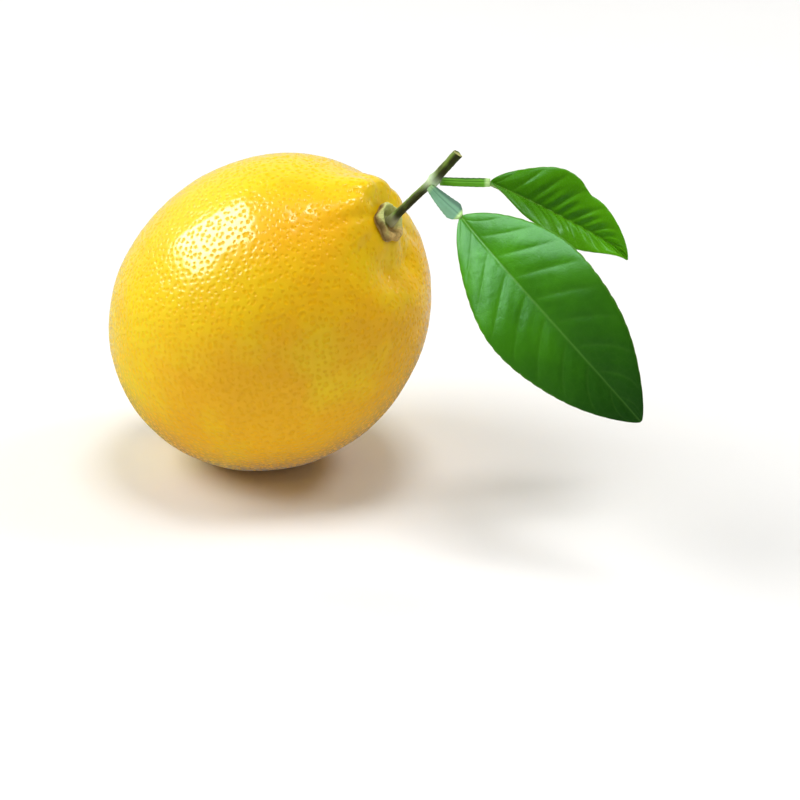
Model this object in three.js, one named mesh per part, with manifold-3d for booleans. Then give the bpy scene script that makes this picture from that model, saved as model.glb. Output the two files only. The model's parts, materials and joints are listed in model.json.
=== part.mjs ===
// A fresh whole lemon as picked: the fruit, the calyx button in its stem end, a short cut length
// of green twig, and two leaves, each a winged petiole with a blade jointed to its end.
//
// Millimetres and degrees, +Z up. The fruit rests on a small flat spot in the plane z = 0, and the
// origin lies in that spot. The stem end looks to +X, up and towards -Y, and the leaves hang to +X.

import * as THREE from "three";
import { mergeVertices } from "three/addons/utils/BufferGeometryUtils.js";
import Module from "manifold-3d";

const wasm = await Module();
wasm.setup();

const { abs, atan2, cos, exp, hypot, max, min, PI, sign, sin, sqrt } = Math;
const radians = THREE.MathUtils.degToRad;
const mix = THREE.MathUtils.lerp;

// Driving dimensions of the fruit, an egg of revolution before its ends are shaped.
const FRUIT = {
  radius: 31.4, // half of the girth
  stemHalf: 36.6, // from the centre to the stem end
  blossomHalf: 35.3, // from the centre to the shoulder of the blossom end
  tilt: 43, // how far the stem end points up
  heading: 25.4, // how far it turns from +X towards -Y
  centre: new THREE.Vector3(3.65, -1.1, 32.48),
  rows: 44,
  columns: 60,
  crowding: 0.6, // how much closer the rows lie at the two ends
};

// The seat of the calyx, a little off the fruit's axis, and the collar of rind round it. The lean is
// how far the collar rises on the side that it leans to and falls on the other.
const SEAT = { x: -1.15, y: -1.3, depth: 0.9, radius: 2.4, floorRadius: 2.2 };
const COLLAR = { height: 0.65, lean: 3.4, towards: 81, radius: 8.1, width: 5.2 };

// The nipple at the blossom end, and the shallow moat round its foot.
const NIPPLE = { length: 6, radius: 5.2, power: 2.6 };
const MOAT = { depth: 0.7, radius: 9, width: 2.6 };

// Furrows that run out from the calyx, and the slight lopsidedness of a grown fruit.
const FURROWS = { count: 9, depth: 0.45, radius: 9.5, width: 5, wander: 0.9 };
const LOPSIDED = { twoSided: 0.35, threeSided: 0.25 };

// The calyx button: five blunt sepals grown into a thick disc that stands proud of the rind, with
// a raised rim and a groove round the foot of the twig.
const CALYX = {
  radius: 3.6,
  sepals: 5,
  lobe: 0.09, // how far the sepals reach past the mean radius, as a share of it
  rimRadius: 2.8,
  rimWidth: 0.75,
  rimHeight: 0.7,
  lean: 0.45, // how much higher the rim stands on one side, as a share of its height
  towards: 75,
  floorHeight: 1,
  grooveDepth: 0.35,
  grooveRadius: 1.75,
  grooveWidth: 0.4,
  rings: 10,
  columns: 30,
};

// Clearance between two pieces that touch in the real fruit.
const GAP = 0.35;

// The twig: a thin stalk from the calyx to the leaf node, then a stouter stub to its cut end.
const STALK = { length: 13.36, heading: [24.3, 20.8], pitch: [49.5, 43.5], steps: 13 };
const STUB = { length: 8.2, heading: [30, 30], pitch: [50, 50], steps: 8 };
const TWIG = {
  sides: 12,
  stalkRadius: 0.8,
  stubRadius: 0.98,
  footSwelling: 0.35,
  footReach: 2,
  nodeSwelling: 0.34,
  nodeReach: 1.1,
  ridges: 3,
  ridgeHeight: 0.06, // as a share of the radius
  cutHeading: -5,
  cutPitch: 58,
};

// The two leaves. Headings, pitches and rolls run from the base of each piece to its end. A petiole
// begins at a base beside the middle of the node and shows from its start on.
const LARGE_LEAF = {
  name: "large",
  petiole: {
    base: [-1.1, -0.6, -0.5],
    start: 1.6,
    length: 9.75,
    heading: [45.9, 41.9],
    pitch: [-32.3, -22.3],
    roll: [48, 50],
    narrow: 0.55,
    wide: 1.85,
    widestAt: 0.78,
    steps: 14,
  },
  blade: {
    length: 54.7,
    heading: [60.5, 29],
    pitch: [-20, -42],
    roll: [47, 84],
    hook: 0,
    left: 12.9,
    right: 11.4,
    belly: 1.04,
    fullness: 0.76,
    notch: 0,
    fold: [11.6, 11],
    curl: -12,
    wave: 0.5,
    waves: 2.2,
    phase: [29, 115],
    veins: 9,
    pucker: 0.22,
    teeth: 22,
    stations: 66,
  },
};
const SMALL_LEAF = {
  name: "small",
  petiole: {
    base: [0, 0, 0],
    start: 1.9,
    length: 10.7,
    heading: [3, 3],
    pitch: [-3, 1],
    roll: [38, 38],
    narrow: 0.95,
    wide: 1.05,
    widestAt: 0.85,
    steps: 12,
  },
  blade: {
    length: 31.9,
    heading: [-12, 9],
    pitch: [-27.8, -28.7],
    roll: [28, 62],
    hook: -30,
    left: 8.1,
    right: 6.8,
    belly: 0.85,
    fullness: 1.02,
    notch: 0.1,
    fold: [25.5, 27],
    curl: -10,
    wave: 0.6,
    waves: 2.2,
    phase: [127, 103],
    veins: 7,
    pucker: 0.4,
    teeth: 16,
    stations: 48,
  },
};

// What both leaves share.
const PETIOLE = { upper: 0.32, lower: 0.6, sides: 14, widening: 0.75 };
const BLADE = {
  thickness: 0.62,
  ribDepth: 0.45, // how far the midrib stands out below the blade
  ribWidth: 0.09, // as a share of the half width
  across: 8, // cells from margin to margin
  foot: 0.5, // half width where the blade is jointed to its petiole
  tip: 0.16,
  veinSlant: 0.16, // how far a side vein runs forward on its way to the margin
  tooth: 0.012, // as a share of the half width
  notchAt: 0.61, // where the left margin may draw in
  notchWidth: 0.06,
};

const COLOURS = {
  rind: 0xf6c800,
  calyx: 0x8d8a3c,
  bark: 0x5f7f2c,
  petiole: 0x6f9a6a,
  largeBlade: 0x1f6b1c,
  smallBlade: 0x2f8a1c,
};

const gaussian = (x, middle, width) => exp(-(((x - middle) / width) ** 2));

// The unit vector that points along a heading and a pitch.
function direction(heading, pitch) {
  const [h, p] = [radians(heading), radians(pitch)];
  return new THREE.Vector3(cos(p) * cos(h), -cos(p) * sin(h), sin(p));
}

// A closed skin over rings of equal length, with a fan over each end. Each ring runs anticlockwise
// seen from the last ring. Cells where mirrored(column) is true are split along the other diagonal.
function skin(rings, startPoint, endPoint, mirrored = () => false) {
  const columns = rings[0].length;
  const positions = [];
  for (const point of [...rings.flat(), startPoint, endPoint]) {
    positions.push(point.x, point.y, point.z);
  }
  const start = rings.length * columns;
  const end = start + 1;
  const faces = [];
  for (let j = 0; j < columns; j++) {
    const next = (j + 1) % columns;
    for (let i = 0; i + 1 < rings.length; i++) {
      const [a, b] = [i * columns + j, i * columns + next];
      const [c, d] = [b + columns, a + columns];
      if (mirrored(j)) faces.push(a, b, d, b, c, d);
      else faces.push(a, b, c, a, c, d);
    }
    const last = (rings.length - 1) * columns;
    faces.push(start, next, j, end, last + j, last + next);
  }
  const geometry = new THREE.BufferGeometry();
  geometry.setAttribute("position", new THREE.Float32BufferAttribute(positions, 3));
  geometry.setIndex(faces);
  geometry.computeVertexNormals();
  return geometry;
}

// A closed geometry as a solid that can be cut.
function solidOf(geometry) {
  const bare = new THREE.BufferGeometry();
  bare.setAttribute("position", geometry.getAttribute("position"));
  bare.setIndex(geometry.getIndex());
  const merged = mergeVertices(bare, 1e-4);
  const vertProperties = new Float32Array(merged.getAttribute("position").array);
  const triVerts = new Uint32Array(merged.getIndex().array);
  return new wasm.Manifold(new wasm.Mesh({ numProp: 3, vertProperties, triVerts }));
}

// A solid back as a geometry.
function geometryOf(solid) {
  const mesh = solid.getMesh();
  const geometry = new THREE.BufferGeometry();
  geometry.setAttribute("position", new THREE.BufferAttribute(mesh.vertProperties, 3));
  geometry.setIndex(new THREE.BufferAttribute(mesh.triVerts, 1));
  geometry.computeVertexNormals();
  return geometry;
}

function piece(name, geometry, colour, roughness) {
  const material = new THREE.MeshStandardMaterial({ color: colour, roughness, metalness: 0 });
  const mesh = new THREE.Mesh(geometry, material);
  mesh.name = name;
  return mesh;
}

// The fruit's own frame: Z along its axis to the stem end, X level.
function fruitFrame() {
  const axis = direction(FRUIT.heading, FRUIT.tilt);
  const level = new THREE.Vector3(0, 0, 1).cross(axis).normalize();
  const upper = axis.clone().cross(level);
  return new THREE.Matrix4().makeBasis(level, upper, axis).setPosition(FRUIT.centre);
}

// Height that the collar and the seat add to the stem end, at a point across the fruit's axis.
function stemEndRise(x, y) {
  const rho = hypot(x - SEAT.x, y - SEAT.y);
  const phi = atan2(y - SEAT.y, x - SEAT.x);
  const lean = COLLAR.lean * cos(phi - radians(COLLAR.towards)) * min(rho / COLLAR.radius, 1);
  const ring = gaussian(max(rho, SEAT.floorRadius), COLLAR.radius, COLLAR.width);
  return (COLLAR.height + lean) * ring - SEAT.depth * exp(-((rho / SEAT.radius) ** 4));
}

// Height of the rind above the fruit's centre, near the stem end.
function stemEndHeight(x, y) {
  return FRUIT.stemHalf * sqrt(1 - (x * x + y * y) / FRUIT.radius ** 2) + stemEndRise(x, y);
}

// The direction that the floor of the seat faces, in the fruit's frame.
function seatNormal() {
  const step = 1;
  const alongX = stemEndHeight(SEAT.x + step, SEAT.y) - stemEndHeight(SEAT.x - step, SEAT.y);
  const alongY = stemEndHeight(SEAT.x, SEAT.y + step) - stemEndHeight(SEAT.x, SEAT.y - step);
  return new THREE.Vector3(-alongX / (2 * step), -alongY / (2 * step), 1).normalize();
}

// Length that the nipple and its moat add at the blossom end.
function blossomEndReach(rho) {
  const nipple = NIPPLE.length * exp(-((rho / NIPPLE.radius) ** NIPPLE.power));
  return nipple - MOAT.depth * gaussian(rho, MOAT.radius, MOAT.width);
}

// A point of the rind in the fruit's frame, theta from the stem end and phi round the axis.
function rindPoint(theta, phi) {
  const rho = FRUIT.radius * sin(theta);
  const [x, y] = [rho * cos(phi), rho * sin(phi)];
  const stemSide = cos(theta) > 0;
  const z = stemSide
    ? FRUIT.stemHalf * cos(theta) + stemEndRise(x, y)
    : FRUIT.blossomHalf * cos(theta) - blossomEndReach(rho);
  const point = new THREE.Vector3(x, y, z);
  const outward = new THREE.Vector3(
    point.x / FRUIT.radius ** 2,
    point.y / FRUIT.radius ** 2,
    z / FRUIT.stemHalf ** 2,
  ).normalize();
  const uneven =
    LOPSIDED.twoSided * sin(2 * phi + 0.6) * sin(theta) ** 2 +
    LOPSIDED.threeSided * cos(3 * phi - 1) * sin(theta) ** 3;
  const wave = cos(FURROWS.count * phi + FURROWS.wander * sin(2 * phi + 1));
  const near = stemSide ? gaussian(rho, FURROWS.radius, FURROWS.width) : 0;
  const furrow = FURROWS.depth * near * (0.5 + 0.5 * wave) ** 2;
  return point.addScaledVector(outward, uneven - furrow);
}

// The fruit in the part's frame, with its resting spot cut flat.
function fruitGeometry() {
  const rings = [];
  for (let i = 1; i < FRUIT.rows; i++) {
    const share = i / FRUIT.rows;
    const theta = PI * share - (FRUIT.crowding * sin(2 * PI * share)) / 2;
    const ring = [];
    for (let j = 0; j < FRUIT.columns; j++) {
      ring.push(rindPoint(theta, (-2 * PI * j) / FRUIT.columns));
    }
    rings.push(ring);
  }
  const whole = skin(rings, rindPoint(0, 0), rindPoint(PI, 0)).applyMatrix4(fruitFrame());
  const side = 4 * FRUIT.radius;
  const ground = new THREE.BoxGeometry(side, side, side).translate(0, 0, -side / 2);
  return geometryOf(solidOf(whole).subtract(solidOf(ground)));
}

// Thickness of the calyx at a distance from its middle: a floor with a groove and a raised rim.
function calyxThickness(rho, phi) {
  const lobes = 0.88 + 0.12 * cos(CALYX.sepals * phi);
  const crest = CALYX.rimHeight * (lobes + CALYX.lean * cos(phi - radians(CALYX.towards)));
  const rim = crest * gaussian(rho, CALYX.rimRadius, CALYX.rimWidth);
  const groove = CALYX.grooveDepth * gaussian(rho, CALYX.grooveRadius, CALYX.grooveWidth);
  return CALYX.floorHeight + rim - groove;
}

// The calyx in the fruit's frame. Its underside follows the seat at a constant clearance.
function calyxGeometry() {
  const ringAt = (share, lift) => {
    const ring = [];
    for (let j = 0; j < CALYX.columns; j++) {
      const phi = (2 * PI * j) / CALYX.columns;
      const reach = CALYX.radius * (1 + CALYX.lobe * cos(CALYX.sepals * phi));
      const rho = reach * share;
      const [x, y] = [SEAT.x + rho * cos(phi), SEAT.y + rho * sin(phi)];
      const z = stemEndHeight(x, y) + GAP + lift * calyxThickness(rho, phi);
      ring.push(new THREE.Vector3(x, y, z));
    }
    return ring;
  };
  const rings = [];
  for (let i = 1; i <= CALYX.rings; i++) rings.push(ringAt(i / CALYX.rings, 0));
  for (let i = CALYX.rings; i >= 1; i--) rings.push(ringAt(i / CALYX.rings, 1));
  const under = new THREE.Vector3(SEAT.x, SEAT.y, stemEndHeight(SEAT.x, SEAT.y) + GAP);
  const over = under.clone().setZ(under.z + calyxThickness(0, 0));
  return skin(rings, under, over);
}

// Stations along a stretch whose heading, pitch and roll change evenly from its start to its end.
// A hook adds to the pitch at the very end.
function stretch(start, { length, heading, pitch, roll = [0, 0], hook = 0 }, steps) {
  const stations = [];
  const point = start.clone();
  for (let i = 0; i <= steps; i++) {
    const share = i / steps;
    const h = mix(heading[0], heading[1], share);
    const along = direction(h, mix(pitch[0], pitch[1], share) + hook * share ** 12);
    if (i > 0) {
      const before = stations[i - 1].along;
      point.addScaledVector(before.clone().add(along), length / steps / 2);
    }
    const level = new THREE.Vector3(sin(radians(h)), cos(radians(h)), 0);
    const over = along.clone().cross(level);
    const turn = radians(mix(roll[0], roll[1], share));
    const side = level.clone().multiplyScalar(cos(turn)).addScaledVector(over, sin(turn));
    const normal = along.clone().cross(side);
    stations.push({ share, point: point.clone(), along, side, normal });
  }
  return stations;
}

// Radius of the twig at a distance from its foot.
function twigRadius(distance) {
  const body = distance < STALK.length ? TWIG.stalkRadius : TWIG.stubRadius;
  const foot = TWIG.footSwelling * gaussian(distance, 0, TWIG.footReach);
  const node = TWIG.nodeSwelling * gaussian(distance, STALK.length, TWIG.nodeReach);
  return body + foot + node;
}

// The twig: stalk, leaf node and stub, with low ridges along it. Its foot lies parallel to the
// floor of the calyx, whose normal is given, and its other end is an oblique cut.
function twigGeometry(stalk, stub, footNormal) {
  const stations = [...stalk, ...stub.slice(1)];
  const cutNormal = direction(TWIG.cutHeading, TWIG.cutPitch);
  const rings = stations.map((station, i) => {
    const inStub = i >= stalk.length;
    const distance = inStub
      ? STALK.length + STUB.length * station.share
      : STALK.length * station.share;
    let facing = station.along;
    if (i === 0) facing = footNormal;
    if (i === stations.length - 1) facing = cutNormal;
    const ring = [];
    for (let j = 0; j < TWIG.sides; j++) {
      const angle = (2 * PI * j) / TWIG.sides;
      const radius = twigRadius(distance) * (1 + TWIG.ridgeHeight * cos(TWIG.ridges * angle));
      const offset = station.side
        .clone()
        .multiplyScalar(radius * cos(angle))
        .addScaledVector(station.normal, radius * sin(angle));
      const slide = -offset.dot(facing) / station.along.dot(facing);
      ring.push(offset.addScaledVector(station.along, slide).add(station.point));
    }
    return ring;
  });
  return skin(rings, stations[0].point, stations[stations.length - 1].point);
}

// Half width of a winged petiole: a wedge that is widest near the blade and closes quickly there.
function petioleHalfWidth(spec, share) {
  const wing = share < spec.widestAt
    ? (share / spec.widestAt) ** PETIOLE.widening
    : cos((PI / 2) * ((share - spec.widestAt) / (1 - spec.widestAt))) ** 0.8;
  return mix(spec.narrow, spec.wide, wing);
}

// A petiole: a lens across, rounder below, between the node and the joint with the blade.
function petioleGeometry(stations, spec) {
  const shown = stations.filter((station) => station.share * spec.length >= spec.start);
  const rings = shown.map((station) => {
    const halfWidth = petioleHalfWidth(spec, station.share);
    const ring = [];
    for (let j = 0; j < PETIOLE.sides; j++) {
      const angle = (2 * PI * j) / PETIOLE.sides;
      const height = sin(angle) > 0 ? PETIOLE.upper : PETIOLE.lower;
      ring.push(
        station.point
          .clone()
          .addScaledVector(station.side, halfWidth * cos(angle))
          .addScaledVector(station.normal, height * sin(angle)),
      );
    }
    return ring;
  });
  return skin(rings, shown[0].point, shown[shown.length - 1].point);
}

// A point of a blade's middle surface and its normal. across runs from -1 to 1, margin to margin.
function bladePoint(spec, station, across) {
  const { share, point, side, normal } = station;
  const out = abs(across);
  const isLeft = across > 0;
  const notch = isLeft ? spec.notch * gaussian(share, BLADE.notchAt, BLADE.notchWidth) : 0;
  const outline = sin(PI * share ** spec.belly) ** spec.fullness * (1 - notch);
  const margin = mix(BLADE.foot, BLADE.tip, share);
  const tooth = 1 + BLADE.tooth * out * abs(sin(PI * spec.teeth * share));
  const halfWidth = (isLeft ? spec.left : spec.right) * outline * tooth + margin;
  const fold = radians(isLeft ? spec.fold[0] : spec.fold[1]);
  const curl = radians(spec.curl);
  const slope = fold + (curl * out) / 2;
  const phase = radians(isLeft ? spec.phase[0] : spec.phase[1]);
  const wave = spec.wave * out ** 2 * sin(2 * PI * spec.waves * share + phase) * sqrt(outline);
  const between = abs(sin(PI * spec.veins * (share - BLADE.veinSlant * out)));
  const pucker = spec.pucker * between * sin(PI * out) * outline;
  const middle = point
    .clone()
    .addScaledVector(side, halfWidth * out * cos(slope) * sign(across))
    .addScaledVector(normal, halfWidth * out * sin(slope) + wave + pucker);
  const turn = across === 0 ? 0 : fold + curl * out;
  const face = normal
    .clone()
    .multiplyScalar(cos(turn))
    .addScaledVector(side, -sin(turn) * sign(across));
  return { middle, face };
}

// A blade: two faces alike, a midrib that stands out below, and a margin that closes them.
function bladeGeometry(stations, spec) {
  const rings = stations.map((station) => {
    const upper = [];
    const lower = [];
    for (let j = 0; j <= BLADE.across; j++) {
      const across = 1 - (2 * j) / BLADE.across;
      const { middle, face } = bladePoint(spec, station, across);
      const rib = BLADE.ribDepth * gaussian(across, 0, BLADE.ribWidth) * (1 - station.share);
      upper.push(middle.clone().addScaledVector(face, BLADE.thickness / 2));
      lower.unshift(middle.clone().addScaledVector(face, -BLADE.thickness / 2 - rib));
    }
    return [...upper, ...lower];
  });
  const last = stations[stations.length - 1];
  const isUnderside = (column) => column > BLADE.across;
  return skin(rings, stations[0].point, last.point, isUnderside);
}

// One leaf's two pieces, chained from the twig's node.
function leaf({ name, petiole, blade }, node, colour) {
  const stalk = stretch(node.clone().add(new THREE.Vector3(...petiole.base)), petiole, petiole.steps);
  const end = stalk[stalk.length - 1];
  const joint = end.point.clone().addScaledVector(end.along, GAP);
  const midrib = stretch(joint, blade, blade.stations);
  return [
    piece(`petiole_${name}`, petioleGeometry(stalk, petiole), COLOURS.petiole, 0.5),
    piece(`blade_${name}`, bladeGeometry(midrib, blade), colour, 0.35),
  ];
}

const lemon = new THREE.Group();
lemon.name = "lemon";
lemon.add(piece("fruit", fruitGeometry(), COLOURS.rind, 0.35));

const stemEnd = new THREE.Group();
stemEnd.applyMatrix4(fruitFrame());
stemEnd.add(piece("calyx", calyxGeometry(), COLOURS.calyx, 0.7));
lemon.add(stemEnd);

const footHeight = stemEndHeight(SEAT.x, SEAT.y) + calyxThickness(0, 0) + 2 * GAP;
const foot = new THREE.Vector3(SEAT.x, SEAT.y, footHeight).applyMatrix4(fruitFrame());
const footNormal = seatNormal().transformDirection(fruitFrame());
const stalk = stretch(foot, STALK, STALK.steps);
const node = stalk[stalk.length - 1].point;
const stub = stretch(node, STUB, STUB.steps);
lemon.add(piece("twig", twigGeometry(stalk, stub, footNormal), COLOURS.bark, 0.55));
lemon.add(...leaf(LARGE_LEAF, node, COLOURS.largeBlade));
lemon.add(...leaf(SMALL_LEAF, node, COLOURS.smallBlade));

export default lemon;
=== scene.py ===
"""A fresh lemon with its calyx, a cut twig and two leaves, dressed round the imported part.

Lengths are millimetres and angles degrees until a mesh is made, which is in metres. The frame is
the part's own: +Z up, +X level towards the leaves, the origin in the fruit's flat resting spot.
"""

import itertools
import json
import logging
import math
from dataclasses import dataclass, field
from enum import Enum
from typing import Any

import bpy
import numpy as np
from mathutils import Matrix

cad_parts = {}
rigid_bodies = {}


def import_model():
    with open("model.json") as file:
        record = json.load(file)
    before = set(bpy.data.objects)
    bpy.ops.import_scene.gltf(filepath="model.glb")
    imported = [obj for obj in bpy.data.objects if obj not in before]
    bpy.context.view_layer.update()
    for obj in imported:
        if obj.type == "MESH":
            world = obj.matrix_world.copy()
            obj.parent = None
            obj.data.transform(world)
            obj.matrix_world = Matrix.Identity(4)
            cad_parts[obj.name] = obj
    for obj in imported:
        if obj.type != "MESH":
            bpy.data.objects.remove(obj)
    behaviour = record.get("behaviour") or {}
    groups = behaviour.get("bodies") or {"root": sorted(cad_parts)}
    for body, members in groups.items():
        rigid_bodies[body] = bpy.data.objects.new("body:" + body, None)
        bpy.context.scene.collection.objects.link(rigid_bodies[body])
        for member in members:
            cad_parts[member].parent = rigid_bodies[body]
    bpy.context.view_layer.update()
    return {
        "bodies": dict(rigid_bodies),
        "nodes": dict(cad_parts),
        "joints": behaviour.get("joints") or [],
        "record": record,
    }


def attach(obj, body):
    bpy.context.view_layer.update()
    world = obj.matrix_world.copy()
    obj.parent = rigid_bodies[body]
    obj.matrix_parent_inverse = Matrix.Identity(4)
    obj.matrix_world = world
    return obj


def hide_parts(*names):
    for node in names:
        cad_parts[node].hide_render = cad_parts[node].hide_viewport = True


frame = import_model()

LOG = logging.getLogger("lemon")
METRES = 0.001  # in a millimetre
GOLDEN = (1 + math.sqrt(5)) / 2
TURN = 2 * math.pi
CLEARANCE = 0.35  # mm between neighbouring solids

Array = np.ndarray
Colour = tuple[float, float, float, float]
Socket = bpy.types.NodeSocket


class Slot(Enum):
    """The record's material slots."""

    RIND = "rind"
    CALYX = "calyx"
    BARK = "bark"
    PETIOLE = "petiole"
    DARK_LEAF = "leaf_dark"
    BRIGHT_LEAF = "leaf_bright"


# Numbers and noise


def gaussian(x: Array, middle: float, width: float) -> Array:
    """A bell of height 1 at middle, down to 1/e at one width from it."""
    return np.exp(-(((x - middle) / width) ** 2))


def smooth_step(low: float, high: float, x: Array) -> Array:
    """0 below low, 1 above high, and a smooth S between them."""
    share = np.clip((x - low) / (high - low), 0, 1)
    return share * share * (3 - 2 * share)


def unit(vectors: Array) -> Array:
    """The vectors scaled to length 1."""
    return vectors / lengths(vectors)


def lengths(vectors: Array) -> Array:
    """The lengths of the vectors, with a last axis of one."""
    return np.linalg.norm(vectors, axis=-1, keepdims=True)


def hashed(cells: Array, seed: int) -> Array:
    """A repeatable number from 0 to 1 for each whole-number cell.

    Args:
        cells: whole numbers, the last axis holding the three coordinates of a cell.
        seed: picks one of many unlike patterns.

    Returns:
        One number per cell.
    """
    mixed = cells[..., 0] * 73856093 ^ cells[..., 1] * 19349663 ^ cells[..., 2] * 83492791
    mixed = (mixed ^ (seed * 2654435761)) & 0xFFFFFFFF
    mixed = ((mixed ^ (mixed >> 13)) * 1274126177) & 0xFFFFFFFF
    mixed = ((mixed ^ (mixed >> 15)) * 668265263) & 0xFFFFFFFF
    return ((mixed ^ (mixed >> 16)) & 0xFFFF) / 0xFFFF


def lumps(points: Array, size: float, seed: int) -> Array:
    """Smooth random lumps: random heights on a cubic lattice, blended between its corners.

    Args:
        points: positions in mm.
        size: the lattice's step in mm.
        seed: picks the pattern.

    Returns:
        Heights from -1 to 1, one per point.
    """
    scaled = points / size
    cell = np.floor(scaled).astype(np.int64)
    within = scaled - cell
    within = within * within * (3 - 2 * within)
    total = np.zeros(points.shape[:-1])
    for corner in itertools.product((0, 1), repeat=3):
        weight = np.where(np.array(corner) > 0, within, 1 - within).prod(axis=-1)
        total += weight * hashed(cell + np.array(corner), seed)
    return 2 * total - 1


def direction(heading: Array | float, pitch: Array | float) -> Array:
    """Unit vectors for headings, turned from +X towards -Y, and pitches, up from level."""
    h, p = np.radians(heading), np.radians(pitch)
    return np.stack([np.cos(p) * np.cos(h), -np.cos(p) * np.sin(h), np.sin(p) + 0 * h], axis=-1)


# Shells and meshes


@dataclass
class Shell:
    """A closed skin in mm: points, four- and three-cornered faces, and masks with a value a point.

    The chart, where there is one, gives each corner of each face a place on a flat map in mm.
    """

    points: Array
    quads: Array
    triangles: Array
    masks: dict[str, Array]
    chart: Array | None = None


def loft(rings: Array, start: Array, end: Array, masks: dict[str, Array]) -> Shell:
    """Closes a stack of rings into a shell, with a fan of triangles over each end.

    Args:
        rings: rows by columns by 3, each ring anticlockwise seen from the last ring.
        start: the middle of the first cap.
        end: the middle of the last cap.
        masks: rows by columns each.

    Returns:
        The shell, with the two middles as its last points.
    """
    rows, columns = rings.shape[:2]
    index = np.arange(rows * columns).reshape(rows, columns)
    after = np.roll(index, -1, axis=1)
    quads = np.stack([index[:-1], after[:-1], after[1:], index[1:]], axis=-1).reshape(-1, 4)
    first = np.stack([np.full(columns, rows * columns), after[0], index[0]], axis=-1)
    last = np.stack([np.full(columns, rows * columns + 1), index[-1], after[-1]], axis=-1)
    spread = {
        name: np.concatenate([mask.ravel(), [mask[0].mean(), mask[-1].mean()]])
        for name, mask in masks.items()
    }
    points = np.vstack([rings.reshape(-1, 3), start, end])
    return Shell(points, quads, np.vstack([first, last]), spread)


def make_piece(name: str, shell: Shell, material: bpy.types.Material) -> None:
    """Puts a shell into the scene as a piece that stands for the node of the same name.

    Args:
        name: the piece's name is this with _skin added; the node it replaces has this name.
        shell: the piece's shape.
        material: its finish.
    """
    mesh = bpy.data.meshes.new(f"{name}_skin")
    faces = shell.quads.tolist() + shell.triangles.tolist()
    mesh.from_pydata((shell.points * METRES).tolist(), [], faces)
    mesh.shade_smooth()
    for mask, values in shell.masks.items():
        attribute = mesh.attributes.new(mask, "FLOAT", "POINT")
        attribute.data.foreach_set("value", values.astype(np.float32))
    if shell.chart is not None:
        chart = mesh.uv_layers.new(name="chart").data
        chart.foreach_set("uv", shell.chart.astype(np.float32).ravel())
    mesh.materials.append(material)
    piece = bpy.data.objects.new(f"{name}_skin", mesh)
    bpy.context.scene.collection.objects.link(piece)
    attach(piece, "root")
    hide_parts(name)
    LOG.info("%s: %d points, %d faces", piece.name, len(mesh.vertices), len(mesh.polygons))


@dataclass
class Stretch:
    """Stations along a stem whose heading, pitch and roll change evenly from its start to its end.

    A hook adds to the pitch at the very end, by the twelfth power of the share of the length.
    """

    start: Array
    length: float
    heading: tuple[float, float]
    pitch: tuple[float, float]
    roll: tuple[float, float] = (0.0, 0.0)
    count: int = 60
    hook: float = 0.0
    share: Array = field(init=False)
    points: Array = field(init=False)
    along: Array = field(init=False)
    side: Array = field(init=False)
    normal: Array = field(init=False)

    def __post_init__(self) -> None:
        """Sums the directions into a path, and turns level side vectors by the roll."""
        self.share = np.linspace(0, 1, self.count)
        heading = np.interp(self.share, (0, 1), self.heading)
        pitch = np.interp(self.share, (0, 1), self.pitch) + self.hook * self.share**12
        self.along = direction(heading, pitch)
        steps = (self.along[1:] + self.along[:-1]) / 2 * self.length / (self.count - 1)
        self.points = self.start + np.vstack([np.zeros(3), np.cumsum(steps, axis=0)])
        h = np.radians(heading)
        level = np.stack([np.sin(h), np.cos(h), 0 * h], axis=-1)
        over = np.cross(self.along, level)
        roll = np.radians(np.interp(self.share, (0, 1), self.roll))[:, None]
        self.side = np.cos(roll) * level + np.sin(roll) * over
        self.normal = np.cross(self.along, self.side)

    def place(self, across: Array, above: Array) -> Array:
        """Points at distances along the side and normal of each station, rows by columns."""
        return (
            self.points[:, None]
            + across[..., None] * self.side[:, None]
            + above[..., None] * self.normal[:, None]
        )


# Shader writing


def paint(code: str) -> Colour:
    """A linear colour from a six-digit display code."""
    display = [int(code[i : i + 2], 16) / 255 for i in (0, 2, 4)]
    linear = [v / 12.92 if v <= 0.04045 else ((v + 0.055) / 1.055) ** 2.4 for v in display]
    return (linear[0], linear[1], linear[2], 1.0)


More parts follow.
